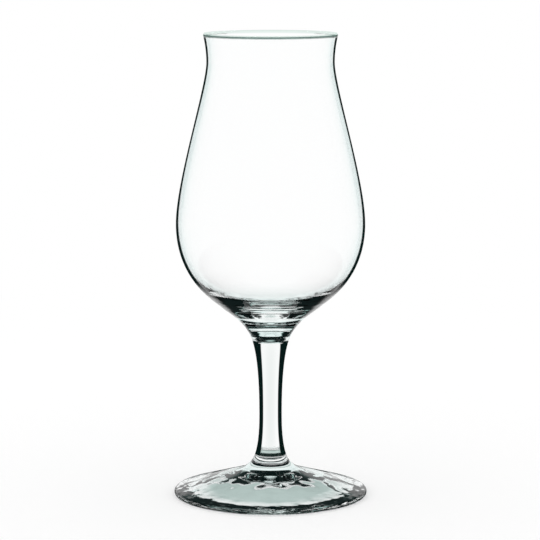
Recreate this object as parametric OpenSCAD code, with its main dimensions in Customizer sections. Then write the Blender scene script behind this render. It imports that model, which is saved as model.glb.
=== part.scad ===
// Whisky nosing glass: a blown tulip bowl on a short pulled stem and a pressed foot.
// The three pieces of clear crystal are fused while hot, face to face, at two joints.
// Millimetres, +Z up, with the origin at the middle of the circle that the foot stands on.

/* [Bowl] */
// Height of the bowl, from its joint with the stem to the top of the lip
bowl_h = 113.4; // [100:0.1:130]
// Outside diameter of the belly, the widest part
belly_d = 69.5; // [62:0.1:78]
// Height of the belly above the stem joint
belly_h = 43.4; // [38:0.1:50]
// Outside diameter of the neck, below the lip
neck_d = 46.7; // [40:0.1:54]
// Drop from the top of the lip down to the neck
neck_drop = 10.6; // [6:0.1:16]
// Outside diameter of the flared lip
lip_d = 49.2; // [42:0.1:58]
// How far the lip leans outward from upright, in degrees
lip_lean = 14; // [6:1:24]
// Outside diameter where the hollow flare under the bowl turns into the round belly
shoulder_d = 38.4; // [32:0.1:44]
// Height of that turn above the stem joint
shoulder_h = 13.7; // [11:0.1:17]
// Slope of the outside at that turn, in degrees
shoulder_slope = 42; // [36:1:48]

/* [Wall] */
// Thickness of the fire-polished lip
lip_t = 1; // [0.8:0.1:2]
// Thickness of the wall at the neck
neck_t = 0.9; // [0.7:0.1:2]
// Thickness of the wall at the belly, where the blown glass stretched most
belly_t = 0.8; // [0.6:0.1:2]
// Thickness of the solid base, from the stem joint up to the cavity's floor
base_t = 11.7; // [10:0.1:17]

/* [Stem] */
// Height of the stem, from joint to joint
stem_h = 42.6; // [30:0.1:70]
// Diameter of the joint between stem and bowl
bowl_joint_d = 13.4; // [11:0.1:16]
// Slope of the outside at that joint, in degrees
bowl_joint_slope = 72; // [64:1:80]
// Diameter of the stem's waist
waist_d = 8.3; // [7:0.1:10]
// Height of the waist above the foot joint
waist_h = 14.6; // [10:0.1:20]
// Diameter of the joint between stem and foot
foot_joint_d = 11.5; // [10.5:0.1:14]
// Slope of the outside at that joint, in degrees
foot_joint_slope = 71; // [62:1:80]

/* [Foot] */
// Height of the foot, from the table to the stem joint
foot_h = 15; // [13:0.1:19]
// Outside diameter of the foot
foot_d = 71.5; // [62:0.1:80]
// Thickness of the rounded edge
edge_t = 2.1; // [1.5:0.1:3]
// Slope of the foot's upper side, in degrees
dome_slope = 16.7; // [13:0.1:19]
// Diameter where the flare from the stem runs out into the slope
flare_d = 27.6; // [24:0.1:34]
// Width of the flat ring that touches the table, up to the rounded edge
ring_w = 4.2; // [2.5:0.1:7]
// Rise of the hollow underside at its middle
kick_up = 5.9; // [4:0.1:7]

/* [Hidden] */
$fn = 128;

// Clear crystal with a trace of grey green in its edges
glass = [0.86, 0.91, 0.9, 0.4];

// Straight steps that stand for one curve of an outline, and for a rounded edge
curve_steps = 18;
round_steps = 8;

// How far each end of a curve pulls along its own heading, as a share of the curve's chord
flare_pull_shares = [0.42, 0.25];
belly_pull_shares = [0.06, 0.6];
chest_pull_shares = [0.26, 0.147];
lip_pull_shares = [0.36, 0.3];
floor_pull_shares = [0.5, 0.36];
waist_up_pull_shares = [0.15, 0.3];
waist_down_pull_shares = [0.14, 0.57];
foot_pull_shares = [0.26, 0.58];
hollow_pull_shares = [0.14, 0.74];

// Heights above the table
bowl_joint_z = foot_h + stem_h;
belly_z = bowl_joint_z + belly_h;
lip_top_z = bowl_joint_z + bowl_h;
neck_z = lip_top_z - neck_drop;

// The lip's bead is a half circle as wide as the wall, tipped outward with it
lip_r = lip_t / 2;
lip_middle = [lip_d / 2 - lip_r, lip_top_z - lip_r];

// The foot's edge is a round bead, and the upper side leaves it as a tangent
edge_r = edge_t / 2;
edge_middle = [foot_d / 2 - edge_r, edge_r];
dome_start = edge_middle + edge_r * heading(90 - dome_slope);
dome_top_z = dome_start[1] + (dome_start[0] - flare_d / 2) * tan(dome_slope);

// A step of length 1 in a direction given in degrees
function heading(angle) = [cos(angle), sin(angle)];

// One smooth curve between two points of an outline. Each point is [radius, height, angle], where
// the angle is the direction of travel. The last point is left for the next stretch to begin with.
function curve(a, b, pull_shares) =
    let (
        start = [a[0], a[1]],
        end = [b[0], b[1]],
        chord = norm(end - start),
        leave = start + pull_shares[0] * chord * heading(a[2]),
        arrive = end - pull_shares[1] * chord * heading(b[2])
    )
    [
        for (i = [0 : curve_steps - 1])
            let (t = i / curve_steps, u = 1 - t)
            pow(u, 3) * start + 3 * u * u * t * leave + 3 * u * t * t * arrive + pow(t, 3) * end
    ];

// A round edge, from one angle to another about its middle
function round_edge(middle, radius, from, to) =
    [for (i = [0 : round_steps]) middle + radius * heading(from + (to - from) * i / round_steps)];

// A piece turned about the glass's axis from half of its outline
module turned(outline) {
    rotate_extrude() polygon(outline);
}

// Blown bowl: a thick base like a lens, a round belly, a drawn-in neck and a flared lip
module bowl() {
    joint = [bowl_joint_d / 2, bowl_joint_z, bowl_joint_slope];
    shoulder = [shoulder_d / 2, bowl_joint_z + shoulder_h, shoulder_slope];
    belly = [belly_d / 2, belly_z, 90];
    neck = [neck_d / 2, neck_z, 90];
    lip_outside = concat(lip_middle + lip_r * heading(-lip_lean), 90 - lip_lean);
    lip_inside = concat(lip_middle - lip_r * heading(-lip_lean), -90 - lip_lean);
    neck_inside = [neck_d / 2 - neck_t, neck_z, -90];
    belly_inside = [belly_d / 2 - belly_t, belly_z, -90];
    cavity_floor = [0, bowl_joint_z + base_t, -180];
    color(glass)
        turned(concat(
            [[0, bowl_joint_z]],
            curve(joint, shoulder, flare_pull_shares),
            curve(shoulder, belly, belly_pull_shares),
            curve(belly, neck, chest_pull_shares),
            curve(neck, lip_outside, lip_pull_shares),
            round_edge(lip_middle, lip_r, -lip_lean, 180 - lip_lean),
            curve(lip_inside, neck_inside, [lip_pull_shares[1], lip_pull_shares[0]]),
            curve(neck_inside, belly_inside, [chest_pull_shares[1], chest_pull_shares[0]]),
            curve(belly_inside, cavity_floor, floor_pull_shares),
            [[0, bowl_joint_z + base_t]]
        ));
}

// Pulled stem: solid, waisted low down and flared towards both joints
module stem() {
    foot_joint = [foot_joint_d / 2, foot_h, 180 - foot_joint_slope];
    waist = [waist_d / 2, foot_h + waist_h, 90];
    bowl_joint = [bowl_joint_d / 2, bowl_joint_z, bowl_joint_slope];
    color(glass)
        turned(concat(
            [[0, foot_h]],
            curve(foot_joint, waist, waist_down_pull_shares),
            curve(waist, bowl_joint, waist_up_pull_shares),
            [[bowl_joint_d / 2, bowl_joint_z], [0, bowl_joint_z]]
        ));
}

// Pressed foot: flares out of the stem into a shallow cone with a rounded edge, hollow underneath
module foot() {
    joint = [foot_joint_d / 2, foot_h, -foot_joint_slope];
    dome_top = [flare_d / 2, dome_top_z, -dome_slope];
    ring_inside = [edge_middle[0] - ring_w, 0, 180];
    hollow_middle = [0, kick_up, 180];
    color(glass)
        turned(concat(
            [[0, foot_h]],
            curve(joint, dome_top, foot_pull_shares),
            [[flare_d / 2, dome_top_z]],
            round_edge(edge_middle, edge_r, 90 - dome_slope, -90),
            curve(ring_inside, hollow_middle, hollow_pull_shares),
            [[0, kick_up]]
        ));
}

bowl();
stem();
foot();
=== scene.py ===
from math import cos, pi, radians, sin, tan

import bpy
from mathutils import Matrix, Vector


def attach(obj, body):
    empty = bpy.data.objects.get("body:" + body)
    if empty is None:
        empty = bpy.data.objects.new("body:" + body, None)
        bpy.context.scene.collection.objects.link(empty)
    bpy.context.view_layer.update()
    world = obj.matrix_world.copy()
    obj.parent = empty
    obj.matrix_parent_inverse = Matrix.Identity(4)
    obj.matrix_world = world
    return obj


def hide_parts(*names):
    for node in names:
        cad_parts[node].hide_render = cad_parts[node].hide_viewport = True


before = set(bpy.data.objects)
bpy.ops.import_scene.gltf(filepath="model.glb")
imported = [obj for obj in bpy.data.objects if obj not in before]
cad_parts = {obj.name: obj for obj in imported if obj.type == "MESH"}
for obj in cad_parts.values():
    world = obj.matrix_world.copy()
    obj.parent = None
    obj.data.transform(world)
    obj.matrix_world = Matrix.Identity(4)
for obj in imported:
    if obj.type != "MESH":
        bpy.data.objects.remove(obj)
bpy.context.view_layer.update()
scene = bpy.context.scene
scene.view_settings.view_transform = "Standard"


# Camera
# A long lens a little above the glass, as for a catalogue picture. Its distance, height and tilt were
# worked out from the ellipses of the lip and the foot.
camera_distance, camera_side, camera_height = 0.918, -0.0002, 0.2144
camera_tilt = radians(8.088)
lens_data = bpy.data.cameras.new("camera")
lens_data.lens = 167.9
lens_data.sensor_width = 36
lens_data.dof.use_dof = False
camera = bpy.data.objects.new("camera", lens_data)
camera.location = (camera_side, -camera_distance, camera_height)
camera.rotation_euler = (pi / 2 - camera_tilt, 0, 0)
scene.collection.objects.link(camera)
scene.camera = camera

# Clear glass needs more bounces than other things, because light crosses many faces on its way through
scene.cycles.max_bounces = 32
scene.cycles.transmission_bounces = 32
scene.cycles.transparent_max_bounces = 32
scene.cycles.glossy_bounces = 16


# Studio
# A white table in a white room. Clear glass has no colour of its own, so for light that the glass bends or
# reflects, the room and the table also have dark parts. These draw the glass's dark lines.
class Wire:
    """A socket of a node tree that works as a number in Python, so that shader maths reads as maths."""

    def __init__(self, tree, socket):
        self.tree, self.socket = tree, socket

    def node(self, kind, settings=None, **inputs):
        """Adds a node, with its settings first and then the values or wires of its sockets. A socket is
        named, or given by its number after an underscore."""
        made = self.tree.nodes.new(kind)
        for key, value in (settings or {}).items():
            setattr(made, key, value)
        for key, value in inputs.items():
            place = int(key[1:]) if key[0] == "_" else key.replace("_", " ")
            if isinstance(value, Wire):
                self.tree.links.new(value.socket, made.inputs[place])
            else:
                made.inputs[place].default_value = value
        return made

    def out(self, made, name=0):
        """A wire from an output of a node."""
        return Wire(self.tree, made.outputs[name])

    def maths(self, operation, *others):
        values = {f"_{i}": value for i, value in enumerate((self,) + others)}
        return self.out(self.node("ShaderNodeMath", {"operation": operation}, **values))

    def __add__(self, other):
        return self.maths("ADD", other)

    def __mul__(self, other):
        return self.maths("MULTIPLY", other)

    def __sub__(self, other):
        return self.maths("SUBTRACT", other)

    def __rsub__(self, other):
        return (self * -1).maths("ADD", other)

    __radd__, __rmul__ = __add__, __mul__

    def at_least(self, times):
        """1 where this count is at least so many times, and 0 elsewhere."""
        return self.maths("GREATER_THAN", times - 0.5)

    def step(self, low, high):
        """0 below low and 1 above high, with a smooth run between them."""
        made = self.node("ShaderNodeMapRange", {"interpolation_type": "SMOOTHSTEP"},
                         Value=self, From_Min=low, From_Max=high)
        return self.out(made)

    def ramp(self, stops):
        """A colour that follows the stops, each a number and the colour there."""
        made = self.node("ShaderNodeValToRGB", _0=self)
        line = made.color_ramp.elements
        while len(line) < len(stops):
            line.new(0.5)
        for place, (at, colour) in zip(line, stops):
            place.position = at
            place.color = (*colour, 1)
        return self.out(made)

    def times(self, colour):
        """This colour multiplied by another."""
        return self.out(self.node("ShaderNodeVectorMath", {"operation": "MULTIPLY"}, _0=self, _1=colour))

    def blend(self, low, high):
        """A colour that goes from low to high as this number goes from 0 to 1."""
        return self.out(self.node("ShaderNodeMix", {"data_type": "RGBA"}, _0=self, _6=low, _7=high), 2)

    def mix(self, low, high):
        """A shader that goes from low to high as this number goes from 0 to 1."""
        return self.node("ShaderNodeMixShader", _0=self, _1=self.out(low), _2=self.out(high))

    def surface(self, shader):
        """Gives the material or the room of this tree its shader."""
        self.tree.links.new(shader.outputs[0], self.tree.nodes["output"].inputs["Surface"])


def blank_tree(owner):
    """A wire to start from in a node tree that has nothing in it but its output."""
    owner.use_nodes = True
    owner.node_tree.nodes.clear()
    kind = "ShaderNodeOutputWorld" if isinstance(owner, bpy.types.World) else "ShaderNodeOutputMaterial"
    owner.node_tree.nodes.new(kind).name = "output"
    return Wire(owner.node_tree, None)


class Rays:
    """Masks for the kinds of light that meet the room and the table, told apart by where the light has been.

    lit: it lit the table
    on_glass: the outside of the glass reflected it
    inside: it left the glass after the inside of the glass's surface had turned it back
    straight: it crossed the glass and was not turned back
    often: it was turned back twice or more
    kept: how much the glass leaves of it, which is half after four turns and nothing after five
    """

    def __init__(self, start):
        path = start.node("ShaderNodeLightPath")
        turns = start.out(path, "Glossy Depth")
        entered = start.out(path, "Transmission Depth").at_least(1)
        self.lit = start.out(path, "Diffuse Depth").at_least(1)
        turned_back = turns.at_least(1) * (1 - self.lit)
        self.on_glass = turned_back * (1 - entered)
        self.inside = turned_back * entered
        self.straight = entered * (1 - turned_back) * (1 - self.lit)
        self.often = turns.at_least(2)
        self.kept = 1 - turns.step(3.4, 4.6)


white, black = (1, 1, 1, 1), (0, 0, 0, 1)
dusk = (0.004, 0.009, 0.009, 1)
panel_half, panel_soft = 36, 1


def in_gaps(spot):
    """1 in the four gaps between white panels that stand behind, in front and at both sides of the table.
    The panels' half widths are in degrees about the glass's axis."""
    parts = spot.node("ShaderNodeSeparateXYZ", _0=spot)
    angle = spot.out(parts, "X").maths("ARCTAN2", spot.out(parts, "Y"))
    from_nearest = angle.maths("PINGPONG", pi / 4)
    return from_nearest.step(radians(panel_half - panel_soft), radians(panel_half + panel_soft))


def above(height, low, high):
    """0 for directions below the low angle and 1 above the high one, in degrees from level."""
    return height.step(sin(radians(low)), sin(radians(high)))


# The room is white to the camera. Light that crossed the glass finds it dark from the top of the panels up
# to a lamp overhead, and light that was turned back twice or more finds the gaps between the panels dark
# too. The outside of the glass reflects little of what is above the panels.
panel_top, lamp_edge = (17, 19), (60, 66)
reflected_top, reflected_loss = (22, 30), 0.9
half_light = (0.4, 0.53, 0.51)
glass_green = (0.86, 0.95, 0.94, 1)
room = bpy.data.worlds.new("room")
scene.world = room
start = blank_tree(room)
rays = Rays(start)
direction = start.out(start.node("ShaderNodeTexCoord"), "Generated")
height = start.out(start.node("ShaderNodeSeparateXYZ", _0=direction), "Z")
dark_above = (rays.inside + rays.straight) * above(height, *panel_top) * (1 - above(height, *lamp_edge))
unlit = (rays.inside * rays.often * in_gaps(direction)).maths("MAXIMUM", dark_above)
level = (1 - unlit - rays.on_glass * above(height, *reflected_top) * reflected_loss) * rays.kept
light = level.ramp([(0, dusk[:3]), (0.5, half_light), (1, white[:3])])
colour = light.times(rays.inside.blend(white, glass_green))
start.surface(start.node("ShaderNodeBackground", Color=colour, Strength=1.0))

# The table is pale paint that takes the shadow, and it runs out into plain white far from the glass. It lies
# a hair below the foot. Light that came through the glass finds it painted: a painted grey-green shadow
# close to the axis and white elsewhere, but for painted dark gaps as in the room. The outside of the glass
# reflects it with painted shade near the foot.
table_half, table_z = 3.0, -0.0001
near_edge, reflected_edge, far_edge = (0.021, 0.031), (0.09, 0.13), (0.15, 0.5)
reflected_painted_shade = 0.03
painted_shadow_top = (0.5, 0.6, 0.575, 1)
table_mesh = bpy.data.meshes.new("table")
corners = [(x * table_half, y * table_half, table_z) for x, y in ((-1, -1), (1, -1), (1, 1), (-1, 1))]
table_mesh.from_pydata(corners, [], [(0, 1, 2, 3)])
table = bpy.data.objects.new("table", table_mesh)
scene.collection.objects.link(table)
white_top = bpy.data.materials.new("white_top")
start = blank_tree(white_top)
rays = Rays(start)
spot = start.out(start.node("ShaderNodeTexCoord"), "Object")
away = start.out(start.node("ShaderNodeVectorMath", {"operation": "LENGTH"}, _0=spot), "Value")
glow = (1 - rays.lit).blend(black, (0.21, 0.21, 0.21, 1))
paint = start.node("ShaderNodeBsdfPrincipled", Base_Color=(0.8, 0.8, 0.8, 1), Roughness=0.7,
                   Specular_IOR_Level=0.0, Emission_Color=glow, Emission_Strength=1.0)
near = 1 - away.step(*near_edge)
reflected = away.step(*reflected_edge) * (1 - reflected_painted_shade) + reflected_painted_shade
seen = rays.inside * (1 - in_gaps(spot) * rays.often) * rays.kept + rays.on_glass * reflected + rays.straight
# The painted shadow under the foot, as light through the glass sees it
painted_shadow_seen = (rays.inside * rays.kept + rays.straight).blend(dusk, painted_shadow_top)
shade = start.node("ShaderNodeEmission", Strength=1.0,
                   Color=(near * (1 - rays.on_glass)).blend(seen.blend(dusk, white), painted_shadow_seen))
by_glass = (rays.inside + rays.on_glass + rays.straight).maths("MINIMUM", 1)
far = away.step(*far_edge) * (1 - rays.lit) * (1 - by_glass)
start.surface(far.mix(by_glass.mix(paint, shade), start.node("ShaderNodeEmission", Color=white)))
table_mesh.materials.append(white_top)


# Bowl
# Blown lead-free crystal: a tulip with a lens-like solid base, a wall of under a millimetre, a drawn-in
# neck and a flared lip that is rounded by the flame. It is fused hot to the stem.
mm = 0.001
foot_height = 15.0 * mm
bowl_joint = 57.6 * mm
bowl_height = 113.4 * mm
lip_top = bowl_joint + bowl_height
belly_radius, belly_z = 34.75 * mm, bowl_joint + 43.4 * mm
neck_radius, neck_z = 23.35 * mm, lip_top - 10.6 * mm
lip_radius, lip_lean, lip_round = 24.6 * mm, 14, 0.5 * mm
neck_wall, belly_wall = 0.9 * mm, 0.8 * mm
floor_z = bowl_joint + 11.7 * mm
joint_radius, joint_slope = 6.7 * mm, 72
foot_joint_radius = 5.75 * mm
shoulder_radius, shoulder_z, shoulder_slope = 19.2 * mm, bowl_joint + 13.7 * mm, 42


def heading(angle):
    """A step of length 1 in a direction of an outline, from an angle in degrees."""
    return Vector((cos(radians(angle)), 0, sin(radians(angle))))


def arc_pull(degrees):
    """How far the ends of a round arc pull, as a share of its chord."""
    return 4 / 3 * tan(radians(degrees) / 4) / (2 * sin(radians(degrees) / 2))


def outline_curve(name, knots):
    """A Bezier curve through the knots of half an outline. Each knot is radius, height, the angle of travel
    in degrees, and how far it pulls the curve before and after it, as shares of the chord. At a corner the
    angle is a pair, before and after it."""
    data = bpy.data.curves.new(name, "CURVE")
    data.dimensions = "3D"
    data.resolution_u = 64
    spline = data.splines.new("BEZIER")
    spline.bezier_points.add(len(knots) - 1)
    places = [Vector((radius, 0, z)) for radius, z, *_ in knots]
    for i, (radius, z, angle, before, after) in enumerate(knots):
        point = spline.bezier_points[i]
        point.handle_left_type = point.handle_right_type = "FREE"
        point.co = places[i]
        back = (places[i] - places[i - 1]).length if i else 0
        ahead = (places[i + 1] - places[i]).length if i + 1 < len(knots) else 0
        turn = angle if isinstance(angle, tuple) else (angle, angle)
        point.handle_left = places[i] - heading(turn[0]) * back * before
        point.handle_right = places[i] + heading(turn[1]) * ahead * after
    made = bpy.data.objects.new(name, data)
    scene.collection.objects.link(made)
    return made


class Tree:
    """A Geometry Nodes tree with named inputs, which grows by one call for each node."""

    def __init__(self, name, inputs):
        self.tree = bpy.data.node_groups.new(name, "GeometryNodeTree")
        self.tree.interface.new_socket("Geometry", in_out="OUTPUT", socket_type="NodeSocketGeometry")
        self.identifiers = {}
        for label, kind in inputs.items():
            made = self.tree.interface.new_socket(label, in_out="INPUT", socket_type="NodeSocket" + kind)
            self.identifiers[label] = made.identifier
        self.given = self.tree.nodes.new("NodeGroupInput")
        self.result = self.tree.nodes.new("NodeGroupOutput")

    def size(self, label):
        """An input of the tree."""
        return self.given.outputs[label]

    def node(self, kind, inputs=None, **settings):
        """Adds a node, with its settings first and then the values or links of its sockets."""
        made = self.tree.nodes.new(kind)
        for key, value in settings.items():
            setattr(made, key, value)
        for key, value in (inputs or {}).items():
            if isinstance(value, bpy.types.NodeSocket):
                self.tree.links.new(value, made.inputs[key])
            else:
                made.inputs[key].default_value = value
        return made

    def add(self, kind, inputs=None, out=0, **settings):
        """Adds a node and gives one of its outputs."""
        return self.node(kind, inputs, **settings).outputs[out]

    def parts(self, place):
        """The X, Y and Z of a place."""
        return self.node("ShaderNodeSeparateXYZ", {0: place}).outputs

    def maths(self, operation, a, b=0.0, clamp=False):
        return self.add("ShaderNodeMath", {0: a, 1: b}, operation=operation, use_clamp=clamp)

    def finish(self, geometry):
        self.tree.links.new(geometry, self.result.inputs[0])


def turning_tree():
    """Turns an outline about the glass's axis: a grid is laid round it, one side along the outline, and
    its edges and poles are closed. Faces of a hot joint lie flat at the joint's height."""
    t = Tree("turn_on_axis", {
        "Outline": "Object", "Steps Around": "Int", "Steps Along": "Int",
        "Ripple Depth": "Float", "Ripple Size": "Float", "Ripple Top": "Float",
        "Ripple From": "Float", "Ripple To": "Float", "Seed": "Float",
        "Joint Low": "Float", "Joint High": "Float", "Glass": "Material", "Joint": "Material",
    })
    curve = t.add("GeometryNodeObjectInfo", {"Object": t.size("Outline")}, "Geometry",
                  transform_space="ORIGINAL")
    grid = t.add("GeometryNodeMeshGrid", {
        "Size X": 1.0, "Size Y": 1.0,
        "Vertices X": t.size("Steps Around"), "Vertices Y": t.size("Steps Along"),
    }, "Mesh")
    across = t.parts(t.add("GeometryNodeInputPosition"))
    angle = t.maths("MULTIPLY", across["X"], 2 * pi)
    share = t.maths("ADD", across["Y"], 0.5, clamp=True)
    half = t.parts(t.add("GeometryNodeSampleCurve", {"Curves": curve, "Factor": share}, "Position",
                         mode="FACTOR", use_all_curves=True))
    x = t.maths("MULTIPLY", half["X"], t.maths("COSINE", angle))
    y = t.maths("MULTIPLY", half["X"], t.maths("SINE", angle))
    turned = t.add("ShaderNodeCombineXYZ", {"X": x, "Y": y, "Z": half["Z"]})
    shape = t.add("GeometryNodeSetPosition", {"Geometry": grid, "Position": turned})
    shape = t.add("GeometryNodeMergeByDistance", {"Geometry": shape, "Distance": 1e-6})

    # Ripples left by the mould. They press up into the underside, which lies below a line that falls
    # outwards from the top height on the axis. They fade in and out at two radii, the outer one on the
    # flat ring. Where the noise is low the glass stays smooth.
    line_fall, fade_share, smooth_below = 0.2, 0.8, 0.38
    now = t.add("GeometryNodeInputPosition")
    z = t.parts(now)["Z"]
    flat_place = t.add("ShaderNodeVectorMath", {0: now, 1: (1, 1, 0)}, operation="MULTIPLY")
    radius = t.add("ShaderNodeVectorMath", {0: flat_place}, "Value", operation="LENGTH")
    scale = t.maths("DIVIDE", 1.0, t.size("Ripple Size"))
    noise = t.add("ShaderNodeTexNoise", {"Vector": now, "W": t.size("Seed"), "Scale": scale, "Detail": 1.0},
                  noise_dimensions="4D")
    line = t.maths("SUBTRACT", t.size("Ripple Top"), t.maths("MULTIPLY", radius, line_fall))
    under = t.maths("LESS_THAN", z, line)
    past_start, past_end = (
        t.add("ShaderNodeMapRange", {
            "Value": radius,
            "From Min": t.maths("MULTIPLY", t.size(label), fade_share),
            "From Max": t.size(label),
        }, interpolation_type="SMOOTHSTEP")
        for label in ("Ripple From", "Ripple To"))
    within = t.maths("SUBTRACT", past_start, past_end)
    rise = t.maths("MAXIMUM", t.maths("SUBTRACT", noise, smooth_below), 0.0)
    depth = t.maths("MULTIPLY", rise, t.size("Ripple Depth"))
    amount = t.maths("MULTIPLY", depth, t.maths("MULTIPLY", under, within))
    offset = t.add("ShaderNodeCombineXYZ", {"Z": amount})
    shape = t.add("GeometryNodeSetPosition", {"Geometry": shape, "Offset": offset})

    # Remembers which side of the wall a point lies on, for the glass's painted dark outline
    outward = t.add("ShaderNodeVectorMath", {0: t.add("GeometryNodeInputNormal"), 1: flat_place}, "Value",
                    operation="DOT_PRODUCT")
    shape = t.add("GeometryNodeStoreNamedAttribute", {
        "Geometry": shape, "Name": "outside", "Value": t.maths("GREATER_THAN", outward, 0.0),
    }, data_type="FLOAT", domain="POINT")

    shape = t.add("GeometryNodeSetShadeSmooth", {"Geometry": shape})
    shape = t.add("GeometryNodeRealizeInstances", {"Geometry": shape})
    shape = t.add("GeometryNodeSetMaterial", {"Geometry": shape, "Material": t.size("Glass")})
    low, high = (
        t.add("FunctionNodeCompare", {"A": z, "B": t.size(label), "Epsilon": 1e-5}, data_type="FLOAT",
              operation="EQUAL")
        for label in ("Joint Low", "Joint High"))
    flat = t.add("FunctionNodeBooleanMath", {0: low, 1: high}, operation="OR")
    joint = t.size("Joint")
    t.finish(t.add("GeometryNodeSetMaterial", {"Geometry": shape, "Selection": flat, "Material": joint}))
    return t


def from_axis(spot):
    """How far a place is from the glass's axis, and how high it is."""
    flat = spot.out(spot.node("ShaderNodeVectorMath", {"operation": "MULTIPLY"}, _0=spot, _1=(1, 1, 0)))
    radius = spot.out(spot.node("ShaderNodeVectorMath", {"operation": "LENGTH"}, _0=flat), "Value")
    return radius, spot.out(spot.node("ShaderNodeSeparateXYZ", _0=spot), "Z")


# Where two pieces were fused, light passes straight through. A fine dark line of painted shade runs round
# the edge.
joint_shade_from, joint_shade_to = 0.4 * mm, 0.8 * mm
hot_joint = bpy.data.materials.new("hot_joint")
start = blank_tree(hot_joint)
radius, height = from_axis(start.out(start.node("ShaderNodeTexCoord"), "Object"))
edge = height.step(30 * mm, 40 * mm) * (joint_radius - foot_joint_radius) + foot_joint_radius
open_face = start.node("ShaderNodeBsdfTransparent", Color=white)
joint_shade = start.node("ShaderNodeBsdfTransparent", Color=(0.02, 0.045, 0.04, 1))
start.surface((edge - radius).step(joint_shade_from, joint_shade_to).mix(joint_shade, open_face))

turning = turning_tree()
no_joint = -1.0
no_ripples = {"Ripple Depth": 0.0, "Ripple Size": 10 * mm, "Ripple Top": 0.0, "Ripple From": 10 * mm,
              "Ripple To": 20 * mm, "Seed": 0.0}


def turned_piece(name, outline, around, along, glass, low_joint=no_joint, high_joint=no_joint,
                 ripples=no_ripples):
    """A piece of the glass as a plain closed mesh at the origin, turned from its outline."""
    made = bpy.data.objects.new(name, bpy.data.meshes.new(name))
    scene.collection.objects.link(made)
    modifier = made.modifiers.new("turn", "NODES")
    modifier.node_group = turning.tree
    values = {"Outline": outline, "Steps Around": around + 1, "Steps Along": along + 1, **ripples,
              "Joint Low": low_joint, "Joint High": high_joint, "Glass": glass, "Joint": hot_joint}
    for label, value in values.items():
        modifier[turning.identifiers[label]] = value
    bpy.context.view_layer.update()
    graph = bpy.context.evaluated_depsgraph_get()
    mesh = bpy.data.meshes.new_from_object(made.evaluated_get(graph))
    made.modifiers.clear()
    made.data = mesh
    mesh.name = name
    bpy.data.objects.remove(outline)
    return made


class Crystal:
    """Clear crystal as a material, with what a piece needs to give it a tint with painted edge shade, a
    painted dark outline and waves.
    """

    def __init__(self, name):
        self.material = bpy.data.materials.new(name)
        self.start = blank_tree(self.material)
        self.spot = self.start.out(self.start.node("ShaderNodeTexCoord"), "Object")
        self.radius, self.height = from_axis(self.spot)
        self.facing = self.start.out(self.start.node("ShaderNodeLayerWeight", Blend=0.5), "Facing")
        side = self.start.node("ShaderNodeAttribute", {"attribute_name": "outside"})
        self.outside = self.start.out(side, "Fac").step(0.4, 0.6)
        self.from_outside = 1 - self.start.out(self.start.node("ShaderNodeNewGeometry"), "Backfacing")

    def rings(self, size, across_share, seed):
        """Faint uneven rings round the glass. The share says how much they change on the way round."""
        parts = self.start.node("ShaderNodeSeparateXYZ", _0=self.spot)
        x, y = (self.start.out(parts, axis) * (across_share / size) for axis in "XY")
        place = self.start.node("ShaderNodeCombineXYZ", _0=self.radius * (1 / size),
                                _1=self.height * (1 / size), _2=x)
        return self.start.out(self.start.node("ShaderNodeTexNoise", {"noise_dimensions": "4D"}, W=y + seed,
                                              Vector=self.start.out(place), Scale=1.0, Detail=1.0))

    def finish(self, tint, painted_dark, relief=None, depth=0.0, clear=None, shade_line=None):
        """Glass of this tint, with painted shade that turns it dark as an outline where the outline mask is
        1. The relief is raised by the depth. Where clear is 1 light goes straight on, and a painted
           grey-green shade line is
        tinted deep where its mask is 1."""
        start = self.start
        glass = start.node("ShaderNodeBsdfPrincipled", Base_Color=tint, Roughness=0.0, IOR=1.52,
                           Transmission_Weight=1.0, Specular_Tint=black)
        if relief:
            bump = start.node("ShaderNodeBump", Strength=1.0, Distance=depth, Height=relief)
            start.tree.links.new(bump.outputs[0], glass.inputs["Normal"])
        # A near-black shader for the painted dark outline: painted shade in place of the dark room the
        # glass's edge would show
        line = start.node("ShaderNodeBsdfPrincipled", Base_Color=(0.003, 0.011, 0.01, 1), Roughness=0.3,
                          Specular_IOR_Level=0.0)
        shader = painted_dark.mix(glass, line)
        if clear:
            pale = start.node("ShaderNodeBsdfTransparent", Color=(0.88, 0.93, 0.91, 1))
            deep_shade = start.node("ShaderNodeBsdfTransparent", Color=(0.14, 0.22, 0.2, 1))
            shader = clear.mix(shader, shade_line.mix(pale, deep_shade))
        start.surface(shader)
        return self.material


lip_middle = Vector((lip_radius - lip_round, 0, lip_top - lip_round))
outside = lip_middle + heading(-lip_lean) * lip_round
crown = lip_middle + heading(90 - lip_lean) * lip_round
inside = lip_middle - heading(-lip_lean) * lip_round
bowl_outline = outline_curve("bowl_outline", [
    (0, bowl_joint, 0, 0, 0.33),
    (joint_radius, bowl_joint, (0, joint_slope), 0.33, 0.42),
    (shoulder_radius, shoulder_z, shoulder_slope, 0.25, 0.06),
    (belly_radius, belly_z, 90, 0.6, 0.26),
    (neck_radius, neck_z, 90, 0.147, 0.36),
    (outside.x, outside.z, 90 - lip_lean, 0.3, arc_pull(90)),
    (crown.x, crown.z, 180 - lip_lean, arc_pull(90), arc_pull(90)),
    (inside.x, inside.z, 270 - lip_lean, arc_pull(90), 0.3),
    (neck_radius - neck_wall, neck_z, 270, 0.36, 0.147),
    (belly_radius - belly_wall, belly_z, 270, 0.26, 0.5),
    (0, floor_z, 180, 0.36, 0),
])
blown = Crystal("bowl_crystal")
# The tint is the crystal's faint green, darkened with painted shade towards the outline
tint = blown.facing.ramp([
    (0.3, (0.995, 0.997, 0.997)),
    (0.45, (0.99, 0.992, 0.992)),
    (0.6, (0.955, 0.973, 0.97)),
    (0.68, (0.865, 0.925, 0.92)),
    (0.76, (0.69, 0.785, 0.78)),
])
base_tint = (0.92, 0.97, 0.962, 1)
tint = tint.times(blown.height.step(64 * mm, 76 * mm).blend(base_tint, white))
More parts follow.
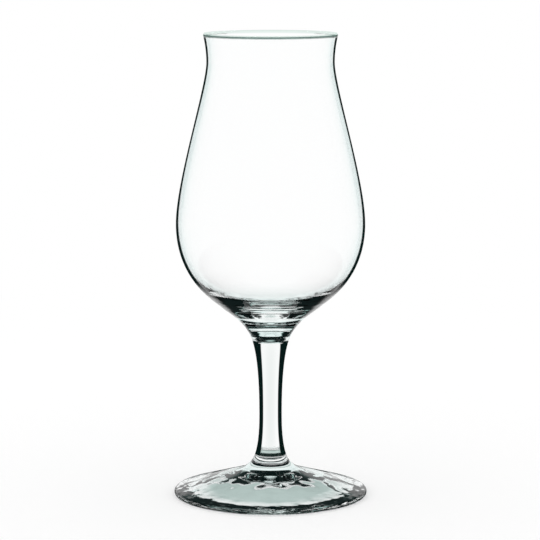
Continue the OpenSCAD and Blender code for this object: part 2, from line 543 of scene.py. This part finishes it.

# The outline is painted dark from the base to the lip, as painted shade. It starts sooner on the neck, which
# is narrow, and on the lower belly, where the wall thickens.
turn_start, turn_end = 0.784, 0.824
narrow = blown.height.step(belly_z + 30 * mm, neck_z) * 0.048
thick = (1 - blown.height.step(85 * mm, 125 * mm)) * 0.05
turned_away = (blown.facing + narrow + thick).step(turn_start, turn_end)
below_bead = 1 - blown.height.step(lip_top - 1.8 * mm, lip_top - 1.0 * mm)
painted_dark = turned_away * blown.height.step(75 * mm, 81 * mm) * below_bead * blown.outside
base_rings = blown.rings(3 * mm, 0.05, 4.7) * (1 - blown.height.step(74 * mm, 80 * mm))

# The lip's round bead is clear but for a painted grey-green shade line low on its outside
at_bead = blown.height.step(lip_middle.z - 1.0 * mm, lip_middle.z - 0.3 * mm) * 0.95
bead_shade_line = (blown.radius.step(lip_middle.x - 0.1 * mm, lip_middle.x + 0.2 * mm)
               * (1 - blown.height.step(lip_middle.z - 0.1 * mm, lip_middle.z + 0.2 * mm))
               * blown.from_outside)
bowl_crystal = blown.finish(tint, painted_dark, base_rings, 0.3 * mm, at_bead, bead_shade_line)
bowl = turned_piece("bowl_blown", bowl_outline, 320, 270, bowl_crystal, low_joint=bowl_joint)
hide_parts("bowl")
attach(bowl, "root")


# Stem
# A short solid stem, pulled from the same crystal while hot. It has its waist low down and flares to
# both hot joints.
waist_radius, waist_z = 4.15 * mm, foot_height + 14.6 * mm
foot_joint_slope = 71
stem_outline = outline_curve("stem_outline", [
    (0, foot_height, 0, 0, 0.33),
    (foot_joint_radius, foot_height, (0, 180 - foot_joint_slope), 0.33, 0.14),
    (waist_radius, waist_z, 90, 0.57, 0.15),
    (joint_radius, bowl_joint, (joint_slope, 180), 0.3, 0.33),
    (0, bowl_joint, 180, 0.33, 0),
])
pulled = Crystal("stem_crystal")
# The tint is the crystal's faint green with painted shade: a grey middle and a darker outline
tint = pulled.facing.ramp([
    (0.0, (0.84, 0.872, 0.862)),
    (0.13, (0.985, 0.993, 0.99)),
    (1.0, (0.84, 0.93, 0.92)),
])

# The outline is painted dark at both sides, and a ring of painted shade lies just over the foot joint. Seen
# from inside the glass the painted ring is fainter.
ring_bottom, ring_top = foot_height + 1.0 * mm, foot_height + 1.4 * mm
ring_faint, ring_strong = 0.2, 0.97
painted_dark = pulled.facing.step(0.238, 0.278) * pulled.outside * pulled.from_outside
ring_share = pulled.from_outside * (ring_strong - ring_faint) + ring_faint
low_ring_shade = (1 - pulled.height.step(ring_bottom, ring_top)) * ring_share
stem_crystal = pulled.finish(tint, painted_dark.maths("MAXIMUM", low_ring_shade))
stem = turned_piece("stem_pulled", stem_outline, 240, 240, stem_crystal, foot_height, bowl_joint)
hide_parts("stem")
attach(stem, "root")


# Foot
# A pressed foot of the same crystal: a shallow cone with a rounded edge. It is hollow underneath, with soft
# ripples from the mould, so it stands on a flat ring. It is fused hot to the stem.
foot_radius, edge_round, dome_slope = 35.75 * mm, 1.05 * mm, 16.7
flare_radius, ring_radius, kick_up = 13.8 * mm, 30.5 * mm, 5.9 * mm
edge_middle = Vector((foot_radius - edge_round, 0, edge_round))
slope_end = edge_middle + heading(90 - dome_slope) * edge_round
edge_out = edge_middle + heading(0) * edge_round
edge_under = edge_middle + heading(-90) * edge_round
dome_z = slope_end.z + (slope_end.x - flare_radius) * tan(radians(dome_slope))
foot_outline = outline_curve("foot_outline", [
    (0, kick_up, 0, 0, 0.74),
    (ring_radius, 0, 0, 0.14, 0.33),
    (edge_under.x, 0, 0, 0.33, arc_pull(90)),
    (edge_out.x, edge_out.z, 90, arc_pull(90), arc_pull(90 - dome_slope)),
    (slope_end.x, slope_end.z, 180 - dome_slope, arc_pull(90 - dome_slope), 0.33),
    (flare_radius, dome_z, 180 - dome_slope, 0.33, 0.58),
    (foot_joint_radius, foot_height, (180 - foot_joint_slope, 180), 0.26, 0.33),
    (0, foot_height, 180, 0.33, 0),
])
pressed = Crystal("foot_crystal")
# The tint is the crystal's faint green, darkened with painted shade towards the outline
tint = pressed.facing.ramp([
    (0.0, (0.98, 0.99, 0.988)),
    (0.8, (0.96, 0.98, 0.978)),
    (1.0, (0.84, 0.93, 0.92)),
])
# A painted dark outline, as painted shade, where the foot's top turns fully away
painted_dark = pressed.facing.step(0.97, 1.0) * pressed.outside * pressed.from_outside
rim_waves = pressed.rings(4 * mm, 0.7, 0.0) * pressed.radius.step(25 * mm, 29 * mm)
foot_crystal = pressed.finish(tint, painted_dark, rim_waves, 0.4 * mm)
mould_ripples = {"Ripple Depth": 1.2 * mm, "Ripple Size": 8.5 * mm, "Ripple Top": 8.2 * mm,
                 "Ripple From": 14.0 * mm, "Ripple To": 34.5 * mm, "Seed": 7.0}
foot = turned_piece("foot_pressed", foot_outline, 320, 260, foot_crystal, high_joint=foot_height,
                    ripples=mould_ripples)
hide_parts("foot")
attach(foot, "root")
